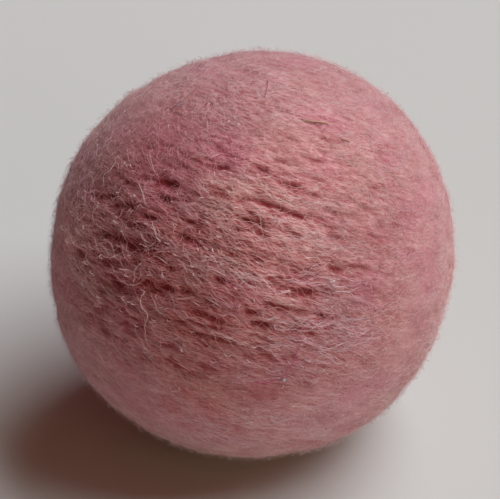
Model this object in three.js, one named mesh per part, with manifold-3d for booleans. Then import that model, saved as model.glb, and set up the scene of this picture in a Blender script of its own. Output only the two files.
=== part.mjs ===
// A hand-felted wool ball. Carded wool is wound round and round one slanting axis, wetted and rolled
// between the palms until it locks into a single solid piece, a little out of round. Short furrows
// are left between the locks of wool, and they all run round the winding axis.
// Millimetres, +Z up, front towards -Y. The origin is the middle of the flat spot that the ball rests on.

import * as THREE from 'three';
import { mergeVertices } from 'three/addons/utils/BufferGeometryUtils.js';
import Module from 'manifold-3d';

// The ball, and the small flat spot that its own weight has pressed into its underside
const BALL_DIAMETER = 36;
const FLAT_SPOT_DEPTH = 0.5;

// The winding axis leans from the vertical towards a compass direction (0 is +X, 90 is +Y)
const WINDING_LEAN = 31;
const WINDING_AZIMUTH = 53;

// Points round the winding and rows from end to end: the rows are close, because furrows are narrow
const POINTS_ROUND = 54;
const ROWS = 96;

// Where rolling left the ball fuller (rise above 0) or flatter (below 0) than a true sphere,
// with the angle over which each place fades out
const UNEVENNESS = [
  { place: 'flat on the right', azimuth: -12, elevation: -16, rise: -0.45, spread: 34 },
  { place: 'full upper right', azimuth: 36, elevation: 40, rise: 0.3, spread: 30 },
  { place: 'flat behind the top', azimuth: 122, elevation: 50, rise: -0.25, spread: 18 },
  { place: 'flat on the left', azimuth: 177, elevation: 4, rise: -0.2, spread: 22 },
  { place: 'full lower left', azimuth: -162, elevation: -24, rise: 0.3, spread: 20 },
  { place: 'flat under the front', azimuth: -90, elevation: -55, rise: -0.25, spread: 22 },
  { place: 'full front', azimuth: -80, elevation: 30, rise: 0.15, spread: 40 },
  { place: 'full back', azimuth: 100, elevation: -10, rise: 0.25, spread: 32 },
  { place: 'flat back left', azimuth: 140, elevation: -25, rise: -0.3, spread: 24 },
];

// A furrow is a soft trough between two locks of wool
const FURROW_HALF_WIDTH = 0.75;
const FURROW_DEPTH = 0.34;

// The front is seen from a little above, and its furrows are laid out by hand on that view:
// place to the right of and above the ball's middle, length along the winding, share of FURROW_DEPTH
const FRONT_ELEVATION = 35;
const FRONT_SPREAD = 60; // the front reaches this far, in degrees, from the middle of the view
const FRONT_FURROWS = [
  // right, up, length, share of depth
  [-6.0, 11.2, 2.6, 0.4],
  [0.2, 12.2, 2.4, 0.4],
  [7.4, 12.0, 2.2, 0.4],
  [2.7, 9.4, 2.2, 0.4],
  [5.5, 8.6, 2.2, 0.5],
  [12.3, 8.0, 2.2, 0.4],
  [-2.8, 8.2, 2.6, 0.9],
  [0.9, 7.8, 2.0, 0.7],
  [3.2, 6.4, 2.8, 0.8],
  [-0.3, 5.1, 2.4, 0.6],
  [2.0, 4.5, 4.0, 1.0],
  [4.4, 3.7, 3.0, 0.8],
  [-0.1, 2.6, 3.6, 1.0],
  [-7.6, 6.7, 3.6, 1.1],
  [-7.8, 5.0, 2.6, 1.0],
  [-4.9, 3.0, 2.6, 0.8],
  [-4.4, 1.2, 3.0, 0.9],
  [7.7, 1.4, 2.8, 0.5],
  [10.1, 4.2, 2.4, 0.4],
  [12.6, 1.0, 2.0, 0.4],
  [7.3, -1.1, 2.2, 0.5],
  [4.4, -3.0, 3.2, 0.8],
  [9.5, -4.3, 2.4, 0.5],
  [6.1, -4.6, 2.6, 0.6],
  [2.7, -4.9, 3.0, 0.7],
  [0.6, -6.2, 2.8, 0.9],
  [-13.4, 6.0, 3.0, 0.8],
  [-11.7, 4.3, 4.0, 1.1],
  [-11.9, 1.4, 5.0, 1.2],
  [-12.1, -2.4, 3.2, 0.8],
  [-8.4, -2.6, 4.0, 1.1],
  [-6.7, -5.6, 3.2, 0.9],
  [-3.3, -7.3, 3.8, 0.8],
  [-6.4, -9.2, 3.4, 0.9],
  [-1.6, -11.2, 2.6, 0.4],
  [3.6, -9.8, 2.4, 0.4],
  [8.2, -8.4, 2.2, 0.4],
];

// Round the rest of the ball the furrows are scattered evenly, in a few lengths and depths
const FURROW_SPACING = 4.1;
const FURROW_STRAY = 1.5; // how far a furrow may stray from its even place
const FURROW_LENGTHS = [2.6, 4.2, 3.2, 5.4, 2.2];
const FURROW_SHARES = [0.6, 1.0, 0.45, 0.8, 0.55, 0.7, 0.9];
const STRAY_SEED = 7;

// Furrows fade out towards the two ends of the winding, where the wool is rubbed smooth
const SMOOTH_END_ANGLE = 28;

const RADIUS = BALL_DIAMETER / 2;
const WELD_DISTANCE = 1e-4;
const { degToRad, euclideanModulo, smoothstep, seededRandom } = THREE.MathUtils;

function direction(azimuth, elevation) {
  const [a, e] = [degToRad(azimuth), degToRad(elevation)];
  return new THREE.Vector3(Math.cos(e) * Math.cos(a), Math.cos(e) * Math.sin(a), Math.sin(e));
}

const towardsViewer = direction(-90, FRONT_ELEVATION);
const upInView = direction(90, 90 - FRONT_ELEVATION);
const rightInView = direction(0, 0);

// Turns the winding axis to +Y, where a sphere geometry has its poles
const windingAxis = direction(WINDING_AZIMUTH, 90 - WINDING_LEAN);
const toWinding = new THREE.Quaternion().setFromUnitVectors(windingAxis, new THREE.Vector3(0, 1, 0));
const fromWinding = toWinding.clone().invert();

// The angle from the winding's end (phi) and the angle round it (theta) of a direction
function windingAngles(unit) {
  return new THREE.Spherical().setFromVector3(unit.clone().applyQuaternion(toWinding));
}

// A furrow of the front, from its place on the view to its place on the ball
function frontFurrow([right, up, length, share]) {
  const out = Math.sqrt(RADIUS ** 2 - right ** 2 - up ** 2);
  const place = towardsViewer.clone().multiplyScalar(out);
  place.addScaledVector(rightInView, right).addScaledVector(upInView, up).normalize();
  const { phi, theta } = windingAngles(place);
  return { phi, theta, length, depth: share * FURROW_DEPTH };
}

// Furrows on a spiral that spaces them evenly round the ball, less those on the front
function scatteredFurrows() {
  const count = Math.round((4 * Math.PI * RADIUS ** 2) / FURROW_SPACING ** 2);
  const goldenAngle = Math.PI * (3 - Math.sqrt(5));
  const strayAngle = FURROW_STRAY / RADIUS;
  const furrows = [];
  seededRandom(STRAY_SEED);
  for (let i = 0; i < count; i++) {
    const phi = Math.acos(1 - (2 * i + 1) / count) + strayAngle * (2 * seededRandom() - 1);
    const theta = i * goldenAngle + strayAngle * (2 * seededRandom() - 1);
    const place = new THREE.Vector3().setFromSphericalCoords(1, phi, theta).applyQuaternion(fromWinding);
    if (place.angleTo(towardsViewer) < degToRad(FRONT_SPREAD)) continue;
    const length = FURROW_LENGTHS[i % FURROW_LENGTHS.length];
    const share = FURROW_SHARES[i % FURROW_SHARES.length];
    furrows.push({ phi, theta, length, depth: share * FURROW_DEPTH });
  }
  return furrows;
}

// How deep the furrows lie below the ball's surface in a given direction
function furrowDepth(unit, furrows) {
  const { phi, theta } = windingAngles(unit);
  const depths = furrows.map((furrow) => {
    const across = (RADIUS * (phi - furrow.phi)) / FURROW_HALF_WIDTH;
    const turn = euclideanModulo(theta - furrow.theta + Math.PI, 2 * Math.PI) - Math.PI;
    const along = (2 * RADIUS * Math.sin(furrow.phi) * turn) / furrow.length;
    return furrow.depth * Math.exp(-(across ** 2) - along ** 4);
  });
  const fromEnd = Math.min(phi, Math.PI - phi);
  return Math.max(...depths) * smoothstep(fromEnd, 0, degToRad(SMOOTH_END_ANGLE));
}

// How far the ball stands proud of a true sphere in a given direction
function unevenness(unit) {
  return UNEVENNESS.reduce((sum, { azimuth, elevation, rise, spread }) => {
    const angle = unit.angleTo(direction(azimuth, elevation));
    return sum + rise * Math.exp(-((angle / degToRad(spread)) ** 2));
  }, 0);
}

// The wound and rolled ball, with its mesh rows running along the winding
function woundBall() {
  const geometry = new THREE.SphereGeometry(RADIUS, POINTS_ROUND, ROWS);
  geometry.applyQuaternion(fromWinding);
  const furrows = [...FRONT_FURROWS.map(frontFurrow), ...scatteredFurrows()];
  const points = geometry.attributes.position;
  for (let i = 0; i < points.count; i++) {
    const unit = new THREE.Vector3().fromBufferAttribute(points, i).normalize();
    const point = unit.clone().multiplyScalar(RADIUS + unevenness(unit) - furrowDepth(unit, furrows));
    points.setXYZ(i, point.x, point.y, point.z);
  }
  return geometry;
}

const wasm = await Module();
wasm.setup();

// A closed geometry as a solid that can be cut, and a cut solid as a geometry again
function solidOf(geometry) {
  geometry.deleteAttribute('normal');
  geometry.deleteAttribute('uv');
  const welded = mergeVertices(geometry, WELD_DISTANCE);
  const vertProperties = new Float32Array(welded.attributes.position.array);
  const triVerts = new Uint32Array(welded.index.array);
  return new wasm.Manifold(new wasm.Mesh({ numProp: 3, vertProperties, triVerts }));
}

function geometryOf(solid) {
  const { vertProperties, triVerts } = solid.getMesh();
  const geometry = new THREE.BufferGeometry();
  geometry.setAttribute('position', new THREE.Float32BufferAttribute(vertProperties, 3));
  geometry.setIndex(Array.from(triVerts));
  geometry.computeVertexNormals();
  return geometry;
}

// The ball set down on z = 0 with its underside pressed flat there
function restingBall() {
  const ball = woundBall();
  ball.computeBoundingBox();
  const middle = ball.boundingBox.getCenter(new THREE.Vector3());
  ball.translate(-middle.x, -middle.y, -ball.boundingBox.min.z - FLAT_SPOT_DEPTH);
  const tableTop = new THREE.BoxGeometry(2 * BALL_DIAMETER, 2 * BALL_DIAMETER, BALL_DIAMETER);
  tableTop.translate(0, 0, -BALL_DIAMETER / 2);
  return geometryOf(solidOf(ball).subtract(solidOf(tableTop)));
}

const feltedWool = new THREE.MeshStandardMaterial({ color: '#c88f90', roughness: 0.95, metalness: 0 });

const ball = new THREE.Mesh(restingBall(), feltedWool);
ball.name = 'felt_ball';

const part = new THREE.Group();
part.add(ball);

export default part;
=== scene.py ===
import math

import bpy
import numpy as np
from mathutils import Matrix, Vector


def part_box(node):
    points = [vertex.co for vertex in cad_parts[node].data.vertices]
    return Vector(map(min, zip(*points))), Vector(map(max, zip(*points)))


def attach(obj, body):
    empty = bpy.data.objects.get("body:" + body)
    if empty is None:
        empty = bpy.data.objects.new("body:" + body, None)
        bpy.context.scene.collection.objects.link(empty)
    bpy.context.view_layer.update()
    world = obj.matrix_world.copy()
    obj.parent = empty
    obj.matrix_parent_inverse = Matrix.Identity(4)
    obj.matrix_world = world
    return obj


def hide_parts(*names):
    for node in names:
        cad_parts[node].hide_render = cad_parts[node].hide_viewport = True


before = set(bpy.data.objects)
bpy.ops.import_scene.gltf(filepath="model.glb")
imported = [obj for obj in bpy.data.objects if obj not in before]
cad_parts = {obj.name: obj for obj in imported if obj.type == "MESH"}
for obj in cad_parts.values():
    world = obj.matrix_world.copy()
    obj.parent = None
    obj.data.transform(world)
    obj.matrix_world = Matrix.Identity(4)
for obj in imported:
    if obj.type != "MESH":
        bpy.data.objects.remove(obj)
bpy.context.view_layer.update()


# The felted body. Carded wool is wound round and round one slanting axis, wetted and rolled between the
# palms until it locks into one solid piece. It is a ball whose rows of points run along the winding: it
# takes its form from the solid ball of the frame, and the finer furrows are then pressed into it.
MM = 0.001
POINTS_ROUND, ROWS = 180, 500
START_SIZE = 1.1  # of the ball's radius, so that all the points start outside the solid ball
WINDING_LEAN, WINDING_AZIMUTH = math.radians(31), math.radians(53)

solid_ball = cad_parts["felt_ball"]
low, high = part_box("felt_ball")
ball_middle = (low + high) / 2
ball_radius = (high.x - low.x + high.y - low.y) / 4
winding_axis = Vector((math.sin(WINDING_LEAN) * math.cos(WINDING_AZIMUTH),
                       math.sin(WINDING_LEAN) * math.sin(WINDING_AZIMUTH),
                       math.cos(WINDING_LEAN)))
winding_turn = winding_axis.to_track_quat("Z", "Y")
winding_euler = winding_turn.to_euler()

bpy.ops.object.select_all(action="DESELECT")
bpy.ops.mesh.primitive_uv_sphere_add(segments=POINTS_ROUND, ring_count=ROWS, radius=START_SIZE * ball_radius,
                                     location=ball_middle, rotation=winding_euler)
body = bpy.context.object
body.name = "felt_body"
bpy.ops.object.transform_apply(location=True, rotation=True, scale=True)
drawn_in = body.modifiers.new("drawn in to the solid ball", "SHRINKWRAP")
drawn_in.target = solid_ball
drawn_in.wrap_method = "PROJECT"
drawn_in.use_negative_direction = True
bpy.ops.object.modifier_apply(modifier=drawn_in.name)
bpy.ops.object.shade_smooth()

middle = np.array(ball_middle)
winding_frame = np.array(winding_turn.to_matrix())  # its last column is the winding axis


def winding_angles(directions):
    """The angle from the winding's upper end, and the angle round it, of each direction."""
    turned = directions @ winding_frame
    from_end = np.arccos(np.clip(turned[..., 2], -1, 1))
    return from_end, np.arctan2(turned[..., 1], turned[..., 0]) % (2 * np.pi)


def nearest_on_grid(directions):
    """The row and column of the body's point that is nearest to each direction."""
    from_end, round_it = winding_angles(directions)
    nearest_column = np.rint(round_it / (2 * np.pi) * POINTS_ROUND).astype(int) % POINTS_ROUND
    return np.rint(from_end / np.pi * ROWS).astype(int), nearest_column


def rubbed(heights, rows, columns):
    """A grid of heights smoothed by so many passes across the winding and along it."""
    for _ in range(rows):
        held = np.pad(heights, ((1, 1), (0, 0)), mode="edge")
        heights = (held[:-2] + 2 * heights + held[2:]) / 4
    for _ in range(columns):
        heights = (np.roll(heights, 1, 1) + 2 * heights + np.roll(heights, -1, 1)) / 4
    return heights


def wool_noise(places, seed):
    """Smooth noise from -1 to 1 that changes over about one unit of each coordinate."""
    side = 32
    knots = np.random.default_rng(seed).uniform(-1, 1, (side, side, side))
    cell = np.floor(places).astype(int)
    part = places - cell
    part = part * part * (3 - 2 * part)
    total = np.zeros(places.shape[:-1])
    for corner in np.ndindex(2, 2, 2):
        share = np.prod(np.where(corner, part, 1 - part), axis=-1)
        x, y, z = np.moveaxis((cell + corner) % side, -1, 0)
        total += share * knots[x, y, z]
    return total


def wound_noise(directions, field, seed):
    """Noise over the ball from -1 to 1 that changes over about this field: its first two lengths lie in the
    plane of the winding, and its last along the winding axis."""
    return wool_noise(directions @ winding_frame * ball_radius / field, seed)


# Each point's row and column, and the ball's reach from its middle on that grid, with the facets rubbed out
points = np.empty(3 * len(body.data.vertices))
body.data.vertices.foreach_get("co", points)
points = points.reshape(-1, 3)
reach = np.linalg.norm(points - middle, axis=1)
outward = (points - middle) / reach[:, None]
row, column = nearest_on_grid(outward)
surface = np.zeros((ROWS + 1, POINTS_ROUND))
surface[row, column] = reach
surface[0] = surface[0].max()    # the first and last rows are one point each
surface[-1] = surface[-1].max()
surface = rubbed(surface, rows=60, columns=5)

row_angle = np.linspace(0, np.pi, ROWS + 1)[:, None]
column_angle = (np.arange(POINTS_ROUND) * 2 * np.pi / POINTS_ROUND)[None]
grid_ways = np.stack(np.broadcast_arrays(np.sin(row_angle) * np.cos(column_angle),
                                         np.sin(row_angle) * np.sin(column_angle),
                                         np.cos(row_angle)), -1) @ winding_frame.T

# The view that the photograph gives: the ball's outline in its pixels, and how far off the eye is
PHOTO_WIDTH, PHOTO_HEIGHT = 500, 499
OUTLINE_X, OUTLINE_Y, OUTLINE_RADIUS = 252.7, 252.5, 203.7
VIEW_ELEVATION = math.radians(35)
VIEW_DISTANCE = 300 * MM
to_viewer = Vector((0, -math.cos(VIEW_ELEVATION), math.sin(VIEW_ELEVATION)))
view_up = Vector((0, math.sin(VIEW_ELEVATION), math.cos(VIEW_ELEVATION)))
view_right = Vector((1, 0, 0))
pixel_slope = math.tan(math.asin(ball_radius / VIEW_DISTANCE)) / OUTLINE_RADIUS


def seen_at(x, y, reach=ball_radius):
    """The direction from the ball's middle of the place that shows at this pixel, so far from the middle."""
    ray = view_right * (x - OUTLINE_X) + view_up * (OUTLINE_Y - y)
    ray = (ray * pixel_slope - to_viewer).normalized()
    eye = to_viewer * VIEW_DISTANCE
    ahead = -eye.dot(ray)
    depth = ahead - math.sqrt(ahead ** 2 - VIEW_DISTANCE ** 2 + reach ** 2)
    return np.array((eye + ray * depth).normalized())


def nearness(directions, way, spread):
    """How near each direction is to this one: 1 at it, and easing off to 0 past so many degrees from it."""
    away = np.arccos(np.clip(directions @ way, -1, 1))
    return np.exp(-(away / math.radians(spread)) ** 2)


# Where the wool is ruffled up and furrowed, how far round the ball each such place reaches, and how ruffled
# it is: seven on the front, most of all left of its middle, and three on the sides and back
RUFFLED = [
    # direction, angle in degrees, share
    (seen_at(135, 265), 30, 1.0),
    (seen_at(225, 235), 30, 1.0),
    (seen_at(280, 300), 28, 0.9),
    (seen_at(340, 200), 30, 0.5),
    (seen_at(195, 325), 22, 0.9),
    (seen_at(240, 130), 26, 0.5),
    (seen_at(215, 415), 22, 0.4),
    (np.array((0.55, 0.8, 0.1)), 32, 1.0),
    (np.array((-0.75, 0.6, -0.2)), 26, 1.0),
    (np.array((0.85, -0.1, -0.5)), 26, 0.6),
]


def ruffle(directions):
    """How ruffled the wool is in each direction, from 0 to 1."""
    most = np.zeros(directions.shape[:-1])
    for way, spread, share in RUFFLED:
        most = np.maximum(most, share * nearness(directions, way / np.linalg.norm(way), spread))
    return most


def eased(least, ruffled):
    """A share that grows from this least one on smooth wool to 1 where the wool is fully ruffled."""
    return least + (1 - least) * ruffled


# Locks of wool: rounded ridges with sharp valleys between them, long along the winding
LOCKS = [
    # length along the winding, width across it, height
    (9.0 * MM, 1.5 * MM, 0.15 * MM),
    (4.5 * MM, 0.7 * MM, 0.07 * MM),
]
SMOOTH_RELIEF = 0.2  # the share of the relief that is left on smooth wool
relief = np.zeros_like(surface)
for k, (length, width, height) in enumerate(LOCKS):
    relief += height * np.abs(wound_noise(grid_ways, (length, length, width), seed=20 + k))

# Strands, in which the fibres of a lock bunch together, with gaps between them where it is ruffled, darkened
# there with painted shade
STRAND_FIELD, STRAND_HEIGHT = (1.0 * MM, 1.0 * MM, 0.21 * MM), 0.05 * MM
GAP_STEEPNESS, GAP_START = 2, 0.25


def strands_at(directions):
    """Where fibres bunch into strands, towards 1, and where the gaps between strands are, towards -1."""
    return wound_noise(directions, STRAND_FIELD, seed=22)


def gaps_at(directions):
    """How far the gaps between strands open up in each direction, from 0 to 1."""
    return np.clip(-GAP_STEEPNESS * strands_at(directions) - GAP_START, 0, 1) * ruffle(directions)


# Dabs: small soft dips all over, where the felt is thinner; painted shade darkens and reddens their colour
DAB_FIELD, DAB_DEPTH = (1.8 * MM, 1.8 * MM, 1.0 * MM), 0.04 * MM
DAB_STEEPNESS, DAB_START = 2.5, 0.6


def dabs_at(directions):
    """How far each direction lies in a dab, from 0 to 1."""
    return np.clip(DAB_STEEPNESS * wound_noise(directions, DAB_FIELD, seed=44) - DAB_START, 0, 1)


relief += STRAND_HEIGHT * strands_at(grid_ways)
relief *= SMOOTH_RELIEF + ruffle(grid_ways)
relief -= DAB_DEPTH * dabs_at(grid_ways)

# The furrows of the front that stand out in the photograph, by the pixels at the two ends of each
FRONT_FURROWS = [
    # x and y of the left end, x and y of the right end, share of the full depth
    # the long furrow right of the middle, and those round it
    (238, 198, 256, 199, 0.8), (254, 197, 276, 207, 1.0), (274, 204, 290, 212, 1.1),
    (286, 211, 308, 217, 0.9), (305, 214, 325, 219, 0.5), (255, 166, 271, 170, 0.9),
    (277, 180, 288, 183, 0.7), (285, 182, 302, 188, 1.0), (273, 157, 293, 163, 0.5),
    (298, 153, 312, 158, 0.5), (308, 158, 325, 161, 0.7), (320, 135, 335, 142, 0.6),
    (319, 150, 330, 153, 0.5), (289, 189, 297, 190, 0.6), (305, 191, 322, 197, 0.6),
    (239, 217, 258, 222, 1.1), (255, 220, 266, 226, 0.9), (259, 230, 267, 236, 1.1),
    (282, 228, 292, 229, 0.6), (289, 231, 300, 236, 0.7), (330, 210, 341, 215, 0.6),
    (344, 196, 356, 201, 0.5), (323, 225, 340, 229, 0.5), (328, 234, 344, 238, 0.7),
    (250, 172, 256, 174, 0.5), (288, 136, 294, 139, 0.4), (276, 140, 284, 141, 0.4),
    (262, 143, 268, 146, 0.4), (272, 149, 280, 152, 0.4), (367, 185, 381, 189, 0.5),
    (359, 206, 375, 210, 0.5), (367, 234, 382, 238, 0.5),
    # upper left
    (154, 180, 182, 183, 1.3), (211, 165, 231, 166, 1.0), (157, 194, 171, 200, 1.1),
    (183, 220, 202, 224, 0.9), (176, 234, 198, 240, 0.9), (140, 213, 159, 219, 0.9),
    (177, 165, 190, 167, 0.6), (186, 162, 198, 163, 0.4), (200, 165, 208, 167, 0.5),
    (159, 143, 174, 146, 0.5), (143, 146, 153, 147, 0.5), (216, 145, 224, 149, 0.6),
    (186, 181, 194, 183, 0.5), (184, 189, 194, 192, 0.6), (182, 197, 192, 200, 0.6),
    (217, 189, 224, 190, 0.5), (198, 214, 208, 217, 0.6), (140, 176, 150, 178, 0.7),
    (168, 189, 179, 191, 0.5), (123, 181, 131, 183, 0.8),
    # left
    (97, 231, 110, 234, 1.1), (111, 235, 121, 238, 1.2), (120, 238, 131, 241, 1.0),
    (130, 242, 144, 248, 1.1), (109, 206, 122, 203, 0.9), (122, 203, 137, 206, 1.0),
    (105, 193, 116, 194, 0.9), (90, 196, 104, 195, 0.8), (76, 248, 86, 257, 1.0),
    (111, 247, 118, 250, 0.9), (112, 212, 122, 214, 0.7), (99, 213, 106, 214, 0.6),
    (103, 260, 117, 263, 0.9), (115, 174, 121, 177, 0.6), (108, 274, 116, 277, 0.7),
    (111, 280, 125, 284, 1.3), (132, 288, 138, 290, 1.0), (127, 293, 131, 294, 0.8),
    (101, 287, 107, 290, 0.6), (99, 308, 110, 307, 0.9), (88, 313, 94, 316, 0.7),
    (122, 338, 129, 339, 0.9), (100, 328, 109, 333, 0.7), (124, 321, 130, 323, 0.7),
    (131, 326, 143, 325, 0.7), (127, 331, 139, 332, 0.7),
    # lower left
    (138, 280, 160, 284, 1.0), (158, 284, 175, 290, 1.1), (148, 288, 166, 291, 0.8),
    (184, 290, 193, 292, 1.1), (165, 264, 175, 270, 0.8), (150, 253, 168, 262, 0.6),
    (189, 307, 206, 313, 0.8), (203, 313, 226, 323, 0.9), (177, 318, 190, 325, 0.8),
    (193, 333, 212, 337, 0.9), (210, 336, 236, 342, 0.9), (141, 352, 155, 360, 0.7),
    (165, 357, 180, 363, 0.9), (198, 363, 212, 366, 0.7),
    # lower right
    (217, 277, 225, 280, 1.3), (250, 254, 262, 259, 1.0), (244, 308, 259, 313, 1.0),
    (249, 321, 274, 326, 1.1), (240, 278, 245, 280, 0.8), (289, 290, 299, 292, 0.9),
    (300, 289, 316, 293, 1.2), (265, 302, 278, 306, 0.9), (277, 307, 290, 309, 0.8),
    (289, 309, 309, 311, 0.7), (312, 311, 319, 313, 0.5), (322, 316, 328, 318, 1.0),
    (329, 267, 343, 270, 0.9), (280, 270, 302, 271, 0.6), (252, 274, 259, 276, 0.7),
    (256, 345, 262, 349, 0.7), (243, 330, 250, 334, 0.6), (275, 331, 290, 336, 0.5),
    (306, 329, 317, 336, 0.6), (284, 354, 295, 356, 0.6), (264, 353, 274, 357, 0.7),
    (244, 351, 252, 357, 0.7), (352, 300, 359, 304, 0.5), (353, 265, 369, 268, 0.5),
]
FURROW_WIDTH, FURROW_DEPTH = 0.27 * MM, 0.28 * MM
LEAST_WIDTH, WIDTH_GAIN = 0.6, 0.6   # the share of the width that any furrow has, and what depth adds to it
STEEP_SIDE, EASY_SIDE = 0.55, 1.3    # reach of its sides, in widths: under the upper lock, over the lower
FURROW_SPAN, FURROW_ENDS = 5, 1.6    # where it is cut off, in widths across it and half lengths along it
FURROW_WAVER, WAVER_RATE = 0.35, 4   # how far it wavers and bows, in widths, and how fast it wavers

# Furrows like them on the ruffled wool of the sides and back, from near the photograph's outline on round
SIDE_PLACES, SIDE_LENGTH, SIDE_SHARE = 460, (0.9 * MM, 2.4 * MM), (0.5, 1.2)
SIDE_RUFFLE, SIDE_ON_SMOOTH = 0.35, 0.4
FRONT_ANGLE = math.radians(62)  # the front reaches this far from the way to the viewer

# Small furrows all over, like stitches
SMALL_PLACES, SMALL_LENGTH, SMALL_DEPTH = 1500, (0.7 * MM, 2.0 * MM), (0.02 * MM, 0.09 * MM)
SMALL_WIDTH = 0.7 * FURROW_WIDTH
SMALL_ON_SMOOTH, SMALL_RUFFLED = 0.4, 0.9  # shares of the depth on any wool, and more where it is ruffled
PLACE_STRAY, SLOPE_STRAY = 0.045, 0.08  # of a place's angles, in radians, and of a furrow's slope
hollow = np.zeros_like(surface)
random = np.random.default_rng(5)


def press_furrow(end_angle, round_angle, length, slope, width, depth):
    """Deepens the hollows along one furrow, where one lock of wool overlaps the next: steep under the
    upper lock, easing out over the lower one, wavering a little and running out at both ends."""
    waver, bow = random.uniform(-FURROW_WAVER, FURROW_WAVER, 2)
    span = FURROW_SPAN * width + abs(slope) * length
    rows_in = np.flatnonzero(np.abs(row_angle[:, 0] - end_angle) < span / ball_radius)
    turn = (column_angle[0] - round_angle + np.pi) % (2 * np.pi) - np.pi
    along = 2 * ball_radius * np.sin(end_angle) * turn / length
    columns_in = np.flatnonzero(np.abs(along) < FURROW_ENDS)
    along = along[columns_in][None]
    across = (ball_radius * (row_angle[rows_in] - end_angle) - slope * along * length / 2) / width
    across = across + waver * np.sin(WAVER_RATE * along) + bow * along ** 2
    profile = np.exp(-(across / np.where(across < 0, STEEP_SIDE, EASY_SIDE)) ** 2)
    trough = depth * profile * np.exp(-along ** 4)
    window = np.ix_(rows_in, columns_in)
    hollow[window] = np.maximum(hollow[window], trough)


def furrow_width(share):
    """How wide a furrow of this share of the full depth is."""
    return FURROW_WIDTH * (LEAST_WIDTH + WIDTH_GAIN * share)


for left_x, left_y, right_x, right_y, share in FRONT_FURROWS:
    left, right = seen_at(left_x, left_y), seen_at(right_x, right_y)
    end_angle, round_angle = winding_angles((left + right) / np.linalg.norm(left + right))
    (left_end, right_end), (left_round, right_round) = winding_angles(np.stack([left, right]))
    along = abs((right_round - left_round + np.pi) % (2 * np.pi) - np.pi) * np.sin(end_angle)
    slope = (right_end - left_end) / along
    press_furrow(end_angle, round_angle, along * ball_radius, slope,
                 furrow_width(share), share * FURROW_DEPTH)


def strayed_place(k, count):
    """The winding angles of one of so many places spaced evenly on a spiral, strayed a little, and how
    ruffled the wool is there and how far it faces the viewer."""
    end_angle = math.acos(1 - (2 * k + 1) / count) + random.normal(0, PLACE_STRAY)
    round_angle = (k * math.pi * (3 - math.sqrt(5)) + random.normal(0, PLACE_STRAY)) % (2 * math.pi)
    way = winding_frame @ np.array((math.sin(end_angle) * math.cos(round_angle),
                                    math.sin(end_angle) * math.sin(round_angle), math.cos(end_angle)))
    return end_angle, round_angle, ruffle(way), way @ np.array(to_viewer)


for k in range(SIDE_PLACES):
    end_angle, round_angle, ruffled, facing = strayed_place(k, SIDE_PLACES)
    if ruffled > SIDE_RUFFLE and facing < math.cos(FRONT_ANGLE):
        share = random.uniform(*SIDE_SHARE) * eased(SIDE_ON_SMOOTH, ruffled)
        press_furrow(end_angle, round_angle, random.uniform(*SIDE_LENGTH), random.normal(0, SLOPE_STRAY),
                     furrow_width(share), share * FURROW_DEPTH)
for k in range(SMALL_PLACES):
    end_angle, round_angle, ruffled, _ = strayed_place(k, SMALL_PLACES)
    depth = random.uniform(*SMALL_DEPTH) * (SMALL_ON_SMOOTH + SMALL_RUFFLED * ruffled)
    press_furrow(end_angle, round_angle, random.uniform(*SMALL_LENGTH), random.normal(0, SLOPE_STRAY),
                 SMALL_WIDTH, depth)
surface += relief - hollow

points = middle + outward * surface[row, column][:, None]
points[:, 2] = np.maximum(points[:, 2], low.z)
body.data.vertices.foreach_set("co", points.ravel())
body.data.update()

# What the body's colours go by: how far each point lies down in a furrow, a gap or a dab, where painted
# shade darkens and reddens the colour, and how ruffled the wool is there
GAP_SHADE, DAB_SHADE = 0.9, 0.2
painted_shade_share = body.data.attributes.new("hollow", "FLOAT", "POINT")
furrow_gap_shade = np.maximum(hollow[row, column] / FURROW_DEPTH, GAP_SHADE * gaps_at(outward))
painted_shade_share.data.foreach_set("value", np.maximum(furrow_gap_shade, DAB_SHADE * dabs_at(outward)))
ruffle_share = body.data.attributes.new("ruffle", "FLOAT", "POINT")
ruffle_share.data.foreach_set("value", ruffle(outward))
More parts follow.
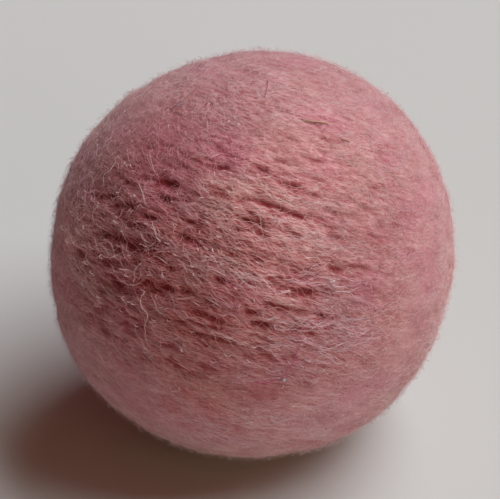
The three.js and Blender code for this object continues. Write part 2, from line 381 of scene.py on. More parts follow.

# Patches of a cooler or warmer rose, where such wool was carded in, and patches of painted light and shade:
# the paler ones are painted light, the frosted ones, paler and cooler, are painted sheen, and the deeper,
# redder ones are painted shade. The middle of each on the front and how far round the ball it reaches.
# Weaker cool and warm ones lie at random all over.
COOL_TINT, WARM_TINT = np.array((1.02, 0.80, 0.95)), np.array((1.0, 0.97, 0.91))
PAINTED_LIGHT_TINT, PAINTED_SHADE_TINT = np.array((1.16, 1.18, 1.16)), np.array((0.95, 0.77, 0.78))
PAINTED_SHEEN_TINT = np.array((1.12, 1.20, 1.24))
PATCH_FIELD = (4 * MM, 4 * MM, 1.8 * MM)
PATCH_START, PATCH_MOST = 0.2, 0.5
CARDED_AND_PAINTED = [
    # direction, angle in degrees, tint, share of it
    (seen_at(225, 147), 5, COOL_TINT, 0.8),
    (seen_at(160, 158), 14, COOL_TINT, 0.6),
    (seen_at(327, 168), 4, COOL_TINT, 0.6),
    (seen_at(300, 326), 6, COOL_TINT, 0.35),
    (seen_at(255, 380), 6, COOL_TINT, 0.35),
    (seen_at(410, 214), 7, COOL_TINT, 0.4),
    (seen_at(320, 335), 24, COOL_TINT, 0.3),
    (seen_at(243, 195), 5, WARM_TINT, 0.4),
    (seen_at(190, 245), 6, WARM_TINT, 0.4),
    (seen_at(255, 210), 17, PAINTED_LIGHT_TINT, 1.0),
    (seen_at(270, 280), 13, PAINTED_LIGHT_TINT, 0.9),
    (seen_at(322, 410), 18, PAINTED_SHEEN_TINT, 0.75),
    (seen_at(66, 240), 9, PAINTED_LIGHT_TINT, 1.4),
    (seen_at(300, 140), 18, PAINTED_LIGHT_TINT, 0.75),
    (seen_at(200, 415), 14, PAINTED_SHEEN_TINT, 0.6),
    (seen_at(275, 435), 14, PAINTED_SHEEN_TINT, 0.5),
    (seen_at(385, 335), 18, PAINTED_LIGHT_TINT, 0.25),
    (seen_at(190, 330), 16, PAINTED_SHADE_TINT, 0.8),
    (seen_at(170, 404), 3.5, PAINTED_SHADE_TINT, 1.7),
    (seen_at(209, 404), 4, PAINTED_SHADE_TINT, 1.8),
    (seen_at(188, 392), 3, PAINTED_SHADE_TINT, 1.4),
    (seen_at(233, 424), 3.5, PAINTED_SHADE_TINT, 1.1),
    (seen_at(258, 388), 4, PAINTED_SHADE_TINT, 1.3),
    (seen_at(145, 255), 22, PAINTED_SHADE_TINT, 0.9),
    (seen_at(150, 135), 14, PAINTED_SHADE_TINT, 0.65),
    (seen_at(405, 190), 16, PAINTED_SHADE_TINT, 0.1),
]


def tint(directions):
    """How the patches tint the rose in each direction, their painted light, sheen and shade included, as
    shares of its red, green and blue.
    """
    patches = wound_noise(directions, PATCH_FIELD, seed=60)[..., None]
    shares = 1 + np.clip(patches - PATCH_START, 0, PATCH_MOST) * (COOL_TINT - 1)
    shares = shares + np.clip(-patches - PATCH_START, 0, PATCH_MOST) * (WARM_TINT - 1)
    for way, spread, patch_tint, share in CARDED_AND_PAINTED:
        shares = shares * (1 + share * nearness(directions, way, spread)[..., None] * (patch_tint - 1))
    return np.concatenate([shares, np.ones_like(patches)], -1)


body_tint = body.data.attributes.new("tint", "FLOAT_COLOR", "POINT")
body_tint.data.foreach_set("color", tint(outward).ravel())


def colour(hex_code):
    """An sRGB hex colour as linear red, green, blue and alpha."""
    parts = [int(hex_code[i:i + 2], 16) / 255 for i in (1, 3, 5)]
    return (*[c / 12.92 if c <= 0.04045 else ((c + 0.055) / 1.055) ** 2.4 for c in parts], 1)


def node(tree, kind, settings=(), **inputs):
    """Adds a node with its settings, and sets or links its inputs by name, or by number as _0."""
    made = tree.nodes.new(kind)
    for name, value in dict(settings).items():
        setattr(made, name, value)
    for name, value in inputs.items():
        socket = made.inputs[int(name[1:]) if name[0] == "_" else name.replace("_", " ")]
        if isinstance(value, bpy.types.NodeSocket):
            tree.links.new(value, socket)
        else:
            socket.default_value = value
    return made


def new_material(name, **inputs):
    """A material with these inputs of its shader set, each by its name with _ for a space."""
    made = bpy.data.materials.new(name)
    made.use_nodes = True
    for input_name, value in inputs.items():
        made.node_tree.nodes["Principled BSDF"].inputs[input_name.replace("_", " ")].default_value = value
    return made


# Felted wool: matt, with hardly any gloss of its own, dusty rose in locks that were carded from lighter
# and darker wool, tinted by the patches, and with painted shade, darker and redder, down in the furrows,
# the gaps and the dabs
felted_wool = new_material("felted_wool", Specular_IOR_Level=0.2, Sheen_Weight=0.3, Sheen_Roughness=0.5,
                           Sheen_Tint=colour("#f2d5d2"))
tree = felted_wool.node_tree
shader = tree.nodes["Principled BSDF"]
place = node(tree, "ShaderNodeTexCoord").outputs["Object"]


def wool_coordinates(tree, place, length, width):
    """Coordinates that change by one over this length along the winding and this width across it."""
    return node(tree, "ShaderNodeMapping", {"vector_type": "TEXTURE"}, Vector=place, Location=ball_middle,
                Rotation=winding_euler, Scale=(length, length, width)).outputs[0]


def ramp(tree, factor, stops):
    """A colour ramp through these (position, hex colour) stops."""
    made = node(tree, "ShaderNodeValToRGB", Fac=factor)
    while len(made.color_ramp.elements) < len(stops):
        made.color_ramp.elements.new(0.5)
    for element, (position, hex_code) in zip(made.color_ramp.elements, stops):
        element.position = position
        element.color = colour(hex_code)
    return made.outputs[0]


def blend(tree, share, first, second):
    """A share of the second colour mixed into the first."""
    return node(tree, "ShaderNodeMix", {"data_type": "RGBA"}, _0=share, _6=first, _7=second).outputs[2]


locks = node(tree, "ShaderNodeTexNoise", Vector=wool_coordinates(tree, place, 3 * MM, 1.4 * MM),
             Scale=1.0, Detail=3.0, Roughness=0.6).outputs["Fac"]
wool = ramp(tree, locks, [(0.3, "#b5757e"), (0.7, "#d2a0a6")])
# Where it is ruffled, fine streaks from dark red to pale pink: partly the fibres' own colour, and their dark
# end partly painted shade between the fibres
gaps = node(tree, "ShaderNodeTexNoise", Vector=wool_coordinates(tree, place, 0.7 * MM, 0.13 * MM),
            Scale=1.0, Detail=3.0, Roughness=0.65, Distortion=0.8).outputs["Fac"]
streaks_and_shade = ramp(tree, gaps, [(0.36, "#8a242c"), (0.46, "#be666d"), (0.58, "#ecc2c6")])
ruffled = node(tree, "ShaderNodeAttribute", {"attribute_name": "ruffle"}).outputs["Fac"]
ruffled = node(tree, "ShaderNodeMapRange", Value=ruffled, To_Min=0.1, To_Max=1.0).outputs[0]
wool = blend(tree, ruffled, wool, streaks_and_shade)
tinted = node(tree, "ShaderNodeAttribute", {"attribute_name": "tint"}).outputs["Color"]
wool = node(tree, "ShaderNodeMix", {"data_type": "RGBA", "blend_type": "MULTIPLY"}, _0=1.0, _6=wool,
            _7=tinted).outputs[2]
# Painted shade: the colour runs towards a dark red, #84202a, as far as the point lies down in a furrow, a
# gap or a dab
depth = node(tree, "ShaderNodeAttribute", {"attribute_name": "hollow"}).outputs["Fac"]
depth = node(tree, "ShaderNodeMapRange", Value=depth, From_Max=0.8, To_Max=0.9).outputs[0]
wool = blend(tree, depth, wool, colour("#84202a"))
tree.links.new(wool, shader.inputs["Base Color"])
strands = node(tree, "ShaderNodeTexNoise", Vector=wool_coordinates(tree, place, 0.9 * MM, 0.16 * MM),
               Scale=1.0, Detail=4.0, Roughness=0.7).outputs["Fac"]
bump = node(tree, "ShaderNodeBump", Height=strands, Strength=0.6, Distance=0.06 * MM).outputs[0]
tree.links.new(bump, shader.inputs["Normal"])
rough = node(tree, "ShaderNodeMapRange", Value=strands, To_Min=0.82, To_Max=0.98).outputs[0]
tree.links.new(rough, shader.inputs["Roughness"])
body.data.materials.append(felted_wool)

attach(body, "root")
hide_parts("felt_ball")


# The fibres of the felt: fine crimped wool hairs that lie along the winding on the body's surface, with
# their ends felted into it. Each is a closed three-sided tube that tapers to a point at both ends, about
# as thick as a wool hair, and thicker for the short near-white ones that are painted glints.
FIBRE_SIDES = 3
END_TAPER = 0.75  # the thickness of a tube's first and last rings, as a share of the rest


def reach_at(directions):
    """How far the felted surface lies from the ball's middle in each direction."""
    from_end, round_it = winding_angles(directions)
    at_row = np.clip(from_end / np.pi * ROWS, 0, ROWS - 1e-6)
    at_column = round_it / (2 * np.pi) * POINTS_ROUND
    above, before = at_row.astype(int), at_column.astype(int) % POINTS_ROUND
    after = (before + 1) % POINTS_ROUND
    down, along = at_row - above, at_column - np.floor(at_column)
    upper = surface[above, before] * (1 - along) + surface[above, after] * along
    lower = surface[above + 1, before] * (1 - along) + surface[above + 1, after] * along
    return upper * (1 - down) + lower * down


def hollow_at(directions):
    """How deep the furrows are in each direction, as a share of the full depth."""
    return hollow[nearest_on_grid(directions)] / FURROW_DEPTH


def unit(vectors):
    """Each vector at a length of one."""
    return vectors / np.linalg.norm(vectors, axis=-1, keepdims=True)


def scattered_ways(count):
    """Directions spread at random all round the ball."""
    return unit(random.normal(size=(count, 3)))


DRIFT_FIELD = 11 * MM                     # patches in which fibres lean one way or the other
LOCK_FIELD = (7 * MM, 7 * MM, 1.6 * MM)   # locks, whose fibres share a lean and a tone
DRIFT_LEAN, LOCK_LEAN, RUFFLED_LEAN = 0.25, 0.25, 0.1  # in radians
SMOOTH_STRAY, SMOOTH_CURVE = 0.5, 0.5     # on smooth wool, the stray that is added and the share of curve


def walk(start, length, stops, stray, crimp, wave):
    """Directions at so many stops along fibres that start here and follow the winding. stray is how far
    each fibre's own heading is off the winding, and crimp how far it swings at each wave."""
    count = len(start)
    ruffled = ruffle(start)
    lean = DRIFT_LEAN * wool_noise(start * ball_radius / DRIFT_FIELD, seed=40) + RUFFLED_LEAN * ruffled
    lean += LOCK_LEAN * wound_noise(start, LOCK_FIELD, seed=41)
    heading = lean + random.normal(0, 1, count) * (stray + SMOOTH_STRAY * (1 - ruffled) ** 2)
    phase = random.uniform(0, 2 * np.pi, count)
    curve = random.normal(0, 1, count) * crimp * (SMOOTH_CURVE + ruffled)
    step = length / (stops - 1)
    way, ways = start, [start]
    for k in range(stops - 1):
        along = unit(np.cross(np.array(winding_axis), way))
        across = np.cross(way, along)
        swing = crimp * np.sin(2 * np.pi * k * step / wave + phase)
        turn = (heading + swing + curve * (k / (stops - 1) - 0.5))[:, None]
        way = unit(way + (np.cos(turn) * along - np.sin(turn) * across) * (step / ball_radius)[:, None])
        ways.append(way)
    return np.stack(ways, 1)


def fibre_mesh(name, lines, thickness, dyes, material):
    """One mesh of tapered tubes along lines, an array of fibres by points by coordinates, with a
    thickness and a colour for each fibre."""
    count, steps = lines.shape[:2]
    forward = unit(np.gradient(lines, axis=1))
    outwards = unit(lines - middle)
    sideways = unit(np.cross(forward, outwards))
    upwards = np.cross(sideways, forward)
    inner = slice(1, steps - 1)
    girth = thickness[:, None, None] / 2 * np.ones((count, steps - 2, 1))
    girth[:, 0] *= END_TAPER
    girth[:, -1] *= END_TAPER
    rings = []
    for angle in (np.arange(FIBRE_SIDES) / FIBRE_SIDES + 0.25) * 2 * np.pi:  # the first corner is on top
        rim = np.cos(angle) * sideways[:, inner] + np.sin(angle) * upwards[:, inner]
        rings.append(lines[:, inner] + girth * rim)
    rings = np.stack(rings, 2).reshape(count, -1, 3)  # fibre, then ring by ring
    corners = np.concatenate([lines[:, :1], rings, lines[:, -1:]], 1)
    each = corners.shape[1]
    corners[..., 2] = np.maximum(corners[..., 2], low.z)

    quads, tips = [], []
    for side in range(FIBRE_SIDES):
        nearby = (side + 1) % FIBRE_SIDES
        for k in range(steps - 3):
            first = 1 + FIBRE_SIDES * k
            ahead = first + FIBRE_SIDES
            quads.append((first + side, first + nearby, ahead + nearby, ahead + side))
        tips.append((0, 1 + nearby, 1 + side))
        last = each - 1 - FIBRE_SIDES
        tips.append((last + side, last + nearby, each - 1))
    offset = (np.arange(count) * each)[:, None, None]
    faces = (np.array(quads) + offset).reshape(-1, 4).tolist()
    faces += (np.array(tips) + offset).reshape(-1, 3).tolist()
    mesh = bpy.data.meshes.new(name)
    mesh.from_pydata(corners.reshape(-1, 3).tolist(), [], faces)
    mesh.polygons.foreach_set("use_smooth", np.ones(len(faces), bool))
    dye = mesh.attributes.new("dye", "FLOAT_COLOR", "POINT")
    dye.data.foreach_set("color", np.repeat(dyes, each, axis=0).ravel())

    # Each fibre has a cell of its own on the map, its length up the cell and its sides across it
    cells = math.ceil(math.sqrt(count))
    cell = np.repeat(np.arange(count), each)
    across = np.tile(np.linspace(0.2, 0.8, FIBRE_SIDES), steps - 2)
    up = np.repeat(np.linspace(0.2, 0.8, steps - 2), FIBRE_SIDES)
    u = np.tile(np.concatenate([[0.5], across, [0.5]]), count)
    v = np.tile(np.concatenate([[0.1], up, [0.9]]), count)
    spots = np.stack([(cell % cells + u) / cells, (cell // cells + v) / cells], 1)
    corner_of = np.empty(len(mesh.loops), int)
    mesh.loops.foreach_get("vertex_index", corner_of)
    uv_map = mesh.uv_layers.new(name="OFBake")
    uv_map.uv.foreach_set("vector", spots[corner_of].ravel())
    mesh.materials.append(material)
    piece = bpy.data.objects.new(name, mesh)
    bpy.context.scene.collection.objects.link(piece)
    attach(piece, "root")
    return piece


# Wool fibre: a fine scaly hair with a soft lustre, each hair with a colour of its own
wool_fibre = new_material("wool_fibre", Roughness=0.4, Specular_IOR_Level=0.9, Sheen_Weight=0.1)
tree = wool_fibre.node_tree
dyed = node(tree, "ShaderNodeAttribute", {"attribute_name": "dye"}).outputs["Color"]
tree.links.new(dyed, tree.nodes["Principled BSDF"].inputs["Base Color"])

# Lustrous fibre: the same hair, smoother, for the loose ones that glint
lustrous_fibre = wool_fibre.copy()
lustrous_fibre.name = "lustrous_fibre"
lustrous_fibre.node_tree.nodes["Principled BSDF"].inputs["Roughness"].default_value = 0.25

# The rose of the fibres, from the darkest shade, 0, to those that took hardly any dye, 1
FIBRE_DYES = [(0.0, "#962a34"), (0.25, "#be525c"), (0.5, "#da919a"), (0.75, "#efc6cd"), (1.0, "#f9eaef")]


def dyes_for(shades):
    """The colour of each fibre by its shade, from 0 for the darkest to 1 for the palest."""
    positions = [position for position, _ in FIBRE_DYES]
    dyes = np.array([colour(hex_code) for _, hex_code in FIBRE_DYES])
    return np.stack([np.interp(shades, positions, channel) for channel in dyes.T], -1)


# Layers of fibres, from those well felted in to those that lie loose on top; the felted ones that lie
# lowest are dyed darker, partly as painted shade
FIBRE_LAYERS = [
    # name, pieces, fibres in each, stops, material,
    # length, thickness, lift, stray, crimp, middle shade, share on smooth wool, share kept off the furrows
    ("felted_fibres", 1, 13000, 4, wool_fibre,
     (0.8 * MM, 2.0 * MM), 0.036 * MM, (0.00 * MM, 0.05 * MM), 0.35, 0.3, 0.62, 0.3, 1.0),
    ("surface_fibres", 2, 7800, 6, wool_fibre,
     (1.3 * MM, 3.2 * MM), 0.032 * MM, (0.06 * MM, 0.26 * MM), 0.32, 0.38, 0.86, 0.1, 1.0),
    ("fine_hairs", 1, 1500, 8, lustrous_fibre,
     (1.4 * MM, 4.0 * MM), 0.044 * MM, (0.25 * MM, 0.6 * MM), 0.45, 0.36, 0.84, 0.02, 0.3),
    # Short near-white fibres, paler than any dye, standing high on top: painted glints
    ("painted_glint_fibres", 1, 900, 5, lustrous_fibre,
     (0.3 * MM, 0.8 * MM), 0.09 * MM, (0.5 * MM, 0.75 * MM), 0.5, 0.3, 1.2, 0.0, 1.0),
]
PLACES_TRIED = 6                          # for each fibre that is kept
CRIMP_WAVE = 2.0 * MM
DEEPEST_WEIGHT = 0.55                     # how far the deepest hollow on its way keeps a fibre off
FIBRE_ARCH, SUNK_SHARE = 0.6, 0.6         # how full its arch is, and how far its ends sink, in thicknesses
SMOOTH_LIFT, SMOOTH_VARIETY, SMOOTH_THICKNESS = 0.6, 0.12, 0.4  # shares on smooth wool
LOCK_TONE, STRAND_TONE_AND_SHADE, HOLLOW_SHADE, TONE_SPREAD = 0.35, 0.4, 1.3, 0.14
THICKNESS_RANGE = (0.6, 1.2)              # of the layer's thickness
for (layer, pieces, count, stops, material,
     spans, thickness, lift, stray, crimp, middle_shade, on_smooth, kept_off) in FIBRE_LAYERS:
    for part in range(1, pieces + 1):
        start = scattered_ways(PLACES_TRIED * count)
        start = start[random.random(len(start)) < eased(on_smooth, ruffle(start))]
        ways = walk(start, random.uniform(*spans, len(start)), stops, stray, crimp, CRIMP_WAVE)
        hollows = kept_off * hollow_at(ways)
        open_felt = DEEPEST_WEIGHT * hollows.max(1) + hollows.mean(1) + kept_off * gaps_at(ways).mean(1)
        free = random.random(len(start)) > open_felt
        ways, hollows = ways[free][:count], hollows[free][:count]
        ruffled = ruffle(ways[:, 0])
        arch = np.sin(np.linspace(0, np.pi, stops)) ** FIBRE_ARCH
        lifts = random.uniform(*lift, len(ways)) * eased(SMOOTH_LIFT, ruffled)
        rise = lifts[:, None] * arch - SUNK_SHARE * thickness * (1 - arch)
        lines = middle + ways * (reach_at(ways) + rise)[..., None]
        variety = eased(SMOOTH_VARIETY, ruffled)
        # The lock tone differs at random; fibres in the gaps between strands and down in the furrows are
        # dyed darker and redder: painted shade
        tone = LOCK_TONE * wound_noise(ways[:, 0], LOCK_FIELD, seed=42)
        tone += STRAND_TONE_AND_SHADE * strands_at(ways).mean(1)
        tone = middle_shade + tone * variety - HOLLOW_SHADE * hollows.mean(1)
        shades = np.clip(random.normal(tone, TONE_SPREAD * variety), 0, 1)
        girths = thickness * random.uniform(*THICKNESS_RANGE, len(ways)) * eased(SMOOTH_THICKNESS, ruffled)
        fibre_mesh(f"{layer}_{part}", lines, girths, dyes_for(shades) * tint(ways[:, 0]), material)


# The fuzz: short hair ends that stand out of the felt all round and soften its outline. They are tapered
# tubes like the fibres, rooted just under the surface, fewer in the furrows and the dabs, and darker in the
# dabs as painted shade.
FUZZ_HAIRS, FUZZ_STOPS = 32000, 3
FUZZ_LENGTH, FUZZ_THICKNESS = (0.4 * MM, 1.4 * MM), 0.036 * MM
FUZZ_STRAY, FUZZ_CRIMP, FUZZ_WAVE = 0.8, 0.5, 1.6 * MM
FUZZ_ROOT, FUZZ_RISE, LEAST_RISE, RISE_BIAS = 0.05 * MM, 0.75 * MM, 0.05, 1.3
HOLLOW_LOSS, DAB_LOSS = 2.0, 0.25
MOTTLE_FIELD = 1.2 * MM
FUZZ_SHADE, MOTTLE_TONE, DAB_FUZZ_SHADE, FUZZ_SPREAD = 0.87, 0.14, 0.12, 0.08
HAIR_RANGE = (0.7, 1.2)  # of a hair's thickness
start = scattered_ways(FUZZ_HAIRS)
start = start[random.random(FUZZ_HAIRS) > HOLLOW_LOSS * hollow_at(start) + DAB_LOSS * dabs_at(start)]
hairs = len(start)
ways = walk(start, random.uniform(*FUZZ_LENGTH, hairs), FUZZ_STOPS, FUZZ_STRAY, FUZZ_CRIMP, FUZZ_WAVE)
height = random.uniform(LEAST_RISE, 1, hairs) ** RISE_BIAS * FUZZ_RISE
rise = height[:, None] * np.linspace(0, 1, FUZZ_STOPS)
lines = middle + ways * (reach_at(ways) - FUZZ_ROOT + rise)[..., None]
mottle = wool_noise(start * ball_radius / MOTTLE_FIELD, seed=43)
# The mottle differs at random; the darker fuzz in the dabs is painted shade
tone = FUZZ_SHADE + MOTTLE_TONE * mottle - DAB_FUZZ_SHADE * dabs_at(start)
shades = np.clip(random.normal(tone, FUZZ_SPREAD), 0, 1)
girths = FUZZ_THICKNESS * random.uniform(*HAIR_RANGE, hairs)
fibre_mesh("fuzz_hairs", lines, girths, dyes_for(shades) * tint(start), wool_fibre)


# The curled hairs: loose tangles that were rubbed up out of the felt, on the left of the front and near its
# middle. They are the same tubes, each lying any way it likes, curling as it goes and sunk in at its ends.
CURLED_STOPS = 12
TANGLES = [
    # middle and spread in pixels of the view, hairs
    ((147, 232), (24, 32), 35),
    ((88, 225), (16, 45), 50),
    ((215, 230), (40, 40), 40),
]
TANGLE_LIMIT = 0.97  # of the outline's radius
CURLED_LENGTH, CURLED_THICKNESS = (1.2 * MM, 3.6 * MM), 0.034 * MM
CURLED_STRAY, CURLED_CRIMP, CURLED_WAVE = 1.1, 0.7, 1.8 * MM
CURLED_LIFT, HAIR_ARCH, SUNK_ENDS = (0.08 * MM, 0.45 * MM), 0.7, 0.03 * MM
CURLED_SHADE, CURLED_SPREAD = 0.8, 0.1
spots = np.concatenate([random.normal(spot, spread, (count, 2)) for spot, spread, count in TANGLES])
off_middle = np.hypot(spots[:, 0] - OUTLINE_X, spots[:, 1] - OUTLINE_Y)
spots = spots[off_middle < TANGLE_LIMIT * OUTLINE_RADIUS]
start = np.array([seen_at(x, y) for x, y in spots])
hairs = len(start)
ways = walk(start, random.uniform(*CURLED_LENGTH, hairs), CURLED_STOPS,
            CURLED_STRAY, CURLED_CRIMP, CURLED_WAVE)
arch = np.sin(np.linspace(0, np.pi, CURLED_STOPS)) ** HAIR_ARCH
rise = random.uniform(*CURLED_LIFT, hairs)[:, None] * arch - SUNK_ENDS * (1 - arch)
lines = middle + ways * (reach_at(ways) + rise)[..., None]
shades = np.clip(random.normal(CURLED_SHADE, CURLED_SPREAD, hairs), 0, 1)
girths = CURLED_THICKNESS * random.uniform(*HAIR_RANGE, hairs)
fibre_mesh("curled_hairs", lines, girths, dyes_for(shades) * tint(start), wool_fibre)


# The loose hairs of the front: longer wool hairs that curl out of the ruffled felt on the left, short
# near-white ones among the furrows, partly pale hairs and partly painted glints, and a few of other colours
# that were carded in by chance. Each is the same thin tube, along a smooth line through the places where it
# shows in the photograph.
HAIR_STOPS = 20
# The bright colour is near white and partly stands for the glints on the hairs: painted glint
PALE, ROSE, PAINTED_GLINT, GOLDEN = "#ecd2d0", "#dcb0b0", "#fbe9e6", "#e8cbb4"
LOOSE_HAIRS = [
    # colour, thickness, lift, pixels along it
    (PALE, 0.056 * MM, 0.8 * MM, [(137, 291), (141, 290), (144, 292), (141, 297), (140, 303), (142, 309),
                                  (146, 313), (147, 318), (145, 325), (145, 332), (147, 341)]),
    (ROSE, 0.064 * MM, 0.6 * MM, [(149, 291), (154, 301), (158, 310), (166, 317)]),
    (PALE, 0.040 * MM, 0.7 * MM, [(143, 262), (137, 267), (134, 272), (134, 282)]),
    (ROSE, 0.036 * MM, 0.6 * MM, [(141, 270), (140, 276), (137, 282)]),
    (ROSE, 0.040 * MM, 0.6 * MM, [(148, 266), (150, 273), (154, 278)]),
    (ROSE, 0.048 * MM, 0.7 * MM, [(149, 151), (151, 160), (153, 168), (157, 176)]),
    (ROSE, 0.036 * MM, 0.7 * MM, [(146, 154), (150, 164), (155, 173)]),
    (PALE, 0.048 * MM, 0.7 * MM, [(138, 183), (141, 189), (143, 195), (146, 202)]),
    (ROSE, 0.036 * MM, 0.7 * MM, [(174, 204), (171, 198), (173, 192), (177, 191), (178, 196), (175, 201)]),
    (PALE, 0.040 * MM, 0.8 * MM, [(152, 221), (153, 226), (155, 232), (157, 238), (161, 243)]),
    (PALE, 0.034 * MM, 0.8 * MM, [(148, 224), (154, 227), (156, 235), (155, 244)]),
    (PALE, 0.040 * MM, 0.7 * MM, [(140, 230), (142, 237), (146, 241), (151, 244)]),
    (PALE, 0.040 * MM, 0.7 * MM, [(173, 234), (174, 229), (177, 224)]),
    (PALE, 0.034 * MM, 0.7 * MM, [(145, 256), (147, 250), (151, 245), (156, 242)]),
    (ROSE, 0.048 * MM, 0.6 * MM, [(126, 216), (128, 212), (131, 209)]),
    (PALE, 0.040 * MM, 0.6 * MM, [(128, 217), (131, 213), (133, 210)]),
    (PALE, 0.044 * MM, 0.6 * MM, [(136, 210), (138, 207), (141, 204)]),
    (PALE, 0.040 * MM, 0.6 * MM, [(139, 209), (142, 207), (145, 208)]),
    (ROSE, 0.088 * MM, 0.5 * MM, [(156, 256), (161, 259), (167, 264)]),
    (PAINTED_GLINT, 0.042 * MM, 0.6 * MM, [(182, 263), (185, 268), (188, 274)]),
    (PAINTED_GLINT, 0.038 * MM, 0.6 * MM, [(200, 256), (208, 257), (218, 256)]),
    (PALE, 0.056 * MM, 0.6 * MM, [(205, 298), (212, 301), (221, 307)]),
    (PAINTED_GLINT, 0.038 * MM, 0.6 * MM, [(181, 310), (185, 313), (189, 318)]),
    (ROSE, 0.080 * MM, 0.5 * MM, [(227, 313), (234, 316), (241, 323)]),
    (ROSE, 0.080 * MM, 0.5 * MM, [(191, 301), (200, 306)]),
    (PALE, 0.040 * MM, 0.7 * MM, [(230, 264), (234, 268), (235, 273), (233, 279)]),
    (GOLDEN, 0.044 * MM, 0.7 * MM, [(239, 285), (244, 281), (248, 277)]),
    (GOLDEN, 0.044 * MM, 0.7 * MM, [(255, 288), (259, 287), (263, 284)]),
    (PAINTED_GLINT, 0.058 * MM, 0.5 * MM, [(249, 229), (252, 231), (256, 235)]),
    (PALE, 0.048 * MM, 0.5 * MM, [(198, 182), (203, 188), (208, 193)]),
    (ROSE, 0.064 * MM, 0.5 * MM, [(191, 156), (196, 155), (203, 155)]),
    (PALE, 0.040 * MM, 0.7 * MM, [(247, 173), (249, 168), (248, 163)]),
    (PALE, 0.036 * MM, 0.7 * MM, [(289, 134), (294, 141), (296, 149), (298, 156)]),
    (PAINTED_GLINT, 0.051 * MM, 0.4 * MM, [(230, 202), (232, 204), (235, 206)]),
    (PAINTED_GLINT, 0.051 * MM, 0.4 * MM, [(222, 207), (225, 209), (227, 211)]),
    (PAINTED_GLINT, 0.051 * MM, 0.4 * MM, [(214, 213), (216, 215), (219, 216)]),
    (PAINTED_GLINT, 0.051 * MM, 0.4 * MM, [(202, 217), (205, 217), (208, 218)]),
    ("#8e9ab0", 0.075 * MM, 0.45 * MM, [(172, 108), (177, 105), (183, 103)]),
    ("#b4b9cc", 0.050 * MM, 0.5 * MM, [(338, 315), (346, 318), (354, 320), (362, 319), (370, 317)]),
    ("#e0509c", 0.075 * MM, 0.5 * MM, [(303, 340), (300, 346), (297, 352), (295, 359), (291, 366),
                                       (286, 373), (280, 378), (271, 382), (262, 383), (250, 383)]),
    ("#a02a3a", 0.075 * MM, 0.5 * MM, [(268, 80), (267, 88), (265, 96)]),
]


def threaded(spots, count):
    """So many points along a smooth line through these."""
    spots = np.array(spots, float)
    slopes = np.gradient(spots, axis=0)
    at = np.linspace(0, len(spots) - 1, count)
    k = np.minimum(at.astype(int), len(spots) - 2)
    t = (at - k)[:, None]
    near = (2 * t ** 3 - 3 * t ** 2 + 1) * spots[k] + (t ** 3 - 2 * t ** 2 + t) * slopes[k]
    return near + (3 * t ** 2 - 2 * t ** 3) * spots[k + 1] + (t ** 3 - t ** 2) * slopes[k + 1]


def lines_seen(paths, lifts, stops, bow=HAIR_ARCH):
    """Lines over the felt along these paths of pixels, each rising to its lift and back in at its ends, or
    at one height all along where bow is 0."""
    spots = np.array([threaded(path, stops) for path in paths])
    ways = np.array([[seen_at(x, y) for x, y in line] for line in spots])
    arch = np.sin(np.linspace(0, np.pi, stops)) ** bow
    rise = np.array(lifts)[:, None] * arch - SUNK_ENDS * (1 - arch)
    raised = np.concatenate([spots, (reach_at(ways) + rise)[..., None]], -1)
    ways = np.array([[seen_at(*spot) for spot in line] for line in raised])
    return middle + ways * (reach_at(ways) + rise)[..., None]


dyes, girths, lifts, paths = zip(*LOOSE_HAIRS)
fibre_mesh("loose_hairs", lines_seen(paths, lifts, HAIR_STOPS), np.array(girths),
           np.array([colour(dye) for dye in dyes]), wool_fibre)


# Two bits of straw and a speck of grit that were caught in the wool as it was felted. The straws are thin
# tubes lying on the upper front, and the grain is a small ball held by the loose fibres low on the front.
STRAW_STOPS, STRAW_LIFT = 24, 0.14 * MM
STRAW_PATHS = [
    [(301, 119), (308, 120.5), (315, 121.5), (322, 122.3), (330, 123.5)],
    [(342, 139), (346, 140), (350, 141.5)],
]
STRAW_THICKNESS = np.array([0.22 * MM, 0.14 * MM])

# Dry straw: dull, a brownish pink among the wool
straw = new_material("dry_straw", Base_Color=colour("#c69c8c"), Roughness=0.7)
straw_lines = lines_seen(STRAW_PATHS, [STRAW_LIFT] * len(STRAW_PATHS), STRAW_STOPS, bow=0)
fibre_mesh("straw_bits", straw_lines, STRAW_THICKNESS, np.ones((len(STRAW_PATHS), 4)), straw)

GRAIN_PIXEL, GRAIN_RADIUS, GRAIN_LIFT = (284, 380), 0.14 * MM, 0.3 * MM
grain_reach = reach_at(seen_at(*GRAIN_PIXEL)) + GRAIN_LIFT
bpy.ops.mesh.primitive_ico_sphere_add(subdivisions=2, radius=GRAIN_RADIUS,
                                      location=middle + seen_at(*GRAIN_PIXEL, grain_reach) * grain_reach)
grain = bpy.context.object
grain.name = "caught_grain"
bpy.ops.object.transform_apply(location=True, rotation=True, scale=True)

# Pale grit: a bluish mineral speck, neither glossy nor matt
grit = new_material("pale_grit", Base_Color=colour("#b2d2de"), Roughness=0.5)
grain.data.materials.append(grit)
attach(grain, "root")


# The stage: a plain pale surface under the ball, one large soft light to the right and a little behind, a
# weaker yellowish one low at the front right, a faint red fill from all round that browns the shadow, a
# plain grey backdrop that only the camera sees, and the camera at the photograph's viewing angle
SURFACE_SIZE = 2.0  # metres
bpy.ops.object.select_all(action="DESELECT")
bpy.ops.mesh.primitive_plane_add(size=SURFACE_SIZE, location=(0, 0, low.z))
surface_below = bpy.context.object
surface_below.name = "pale_surface"

# Pale card: matt, a very slightly cool grey
pale = new_material("pale_card", Base_Color=(0.645, 0.655, 0.66, 1), Roughness=1.0, Specular_IOR_Level=0.0)
surface_below.data.materials.append(pale)

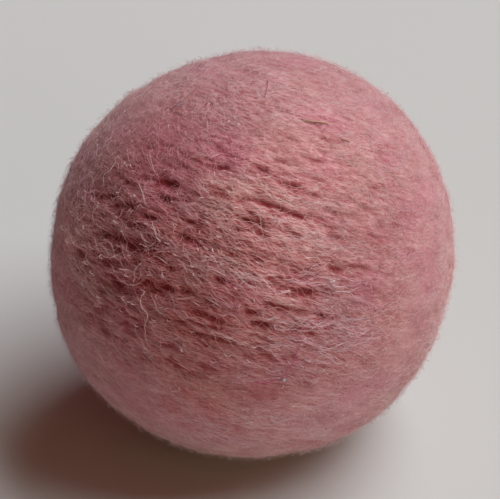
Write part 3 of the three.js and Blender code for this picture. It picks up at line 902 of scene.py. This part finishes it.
LIGHT_DISTANCE = 3.0  # metres
SOFT_LIGHTS = [
    # name, azimuth (0 is the right, -90 the front) and elevation in degrees, width and height in metres,
    # power in watts, colour
    ("window_light", 17.5, 58, 3.55, 1.95, 107.5, (0.96, 1.0, 0.99)),
    ("front_light", -55, 10, 2.5, 2.5, 24.4, (1.0, 0.83, 0.46)),
]
for name, azimuth, elevation, width, height, power, light_colour in SOFT_LIGHTS:
    azimuth, elevation = math.radians(azimuth), math.radians(elevation)
    light_way = Vector((math.cos(elevation) * math.cos(azimuth), math.cos(elevation) * math.sin(azimuth),
                        math.sin(elevation)))
    bpy.ops.object.light_add(type="AREA", location=ball_middle + light_way * LIGHT_DISTANCE,
                             rotation=light_way.to_track_quat("Z", "Y").to_euler())
    soft_light = bpy.context.object
    soft_light.name = name
    soft_light.visible_camera = False
    soft_light.data.shape = "RECTANGLE"
    soft_light.data.size = width
    soft_light.data.size_y = height
    soft_light.data.energy = power
    soft_light.data.color = light_colour

world = bpy.data.worlds.new("dim_room")
world.use_nodes = True
fill = world.node_tree.nodes["Background"]
fill.inputs["Color"].default_value = (1, 0.05, 0.02, 1)
fill.inputs["Strength"].default_value = 0.065
tree = world.node_tree
backdrop = node(tree, "ShaderNodeBackground", Color=(0.56, 0.555, 0.55, 1), Strength=1.0).outputs[0]
seen_direct = node(tree, "ShaderNodeLightPath").outputs["Is Camera Ray"]
either = node(tree, "ShaderNodeMixShader", _0=seen_direct, _1=fill.outputs[0], _2=backdrop).outputs[0]
tree.links.new(either, tree.nodes["World Output"].inputs["Surface"])
bpy.context.scene.world = world
bpy.context.scene.view_settings.view_transform = "Standard"

bpy.ops.object.camera_add()
camera = bpy.context.object
camera.location = ball_middle + to_viewer * VIEW_DISTANCE
camera.rotation_euler = (-to_viewer).to_track_quat("-Z", "Y").to_euler()
camera.data.sensor_width = 36
camera.data.lens = camera.data.sensor_width / (PHOTO_WIDTH * pixel_slope)
camera.data.shift_x = (PHOTO_WIDTH / 2 - OUTLINE_X) / PHOTO_WIDTH
camera.data.shift_y = (OUTLINE_Y - PHOTO_HEIGHT / 2) / PHOTO_WIDTH
camera.data.clip_start = 10 * MM
bpy.context.scene.camera = camera
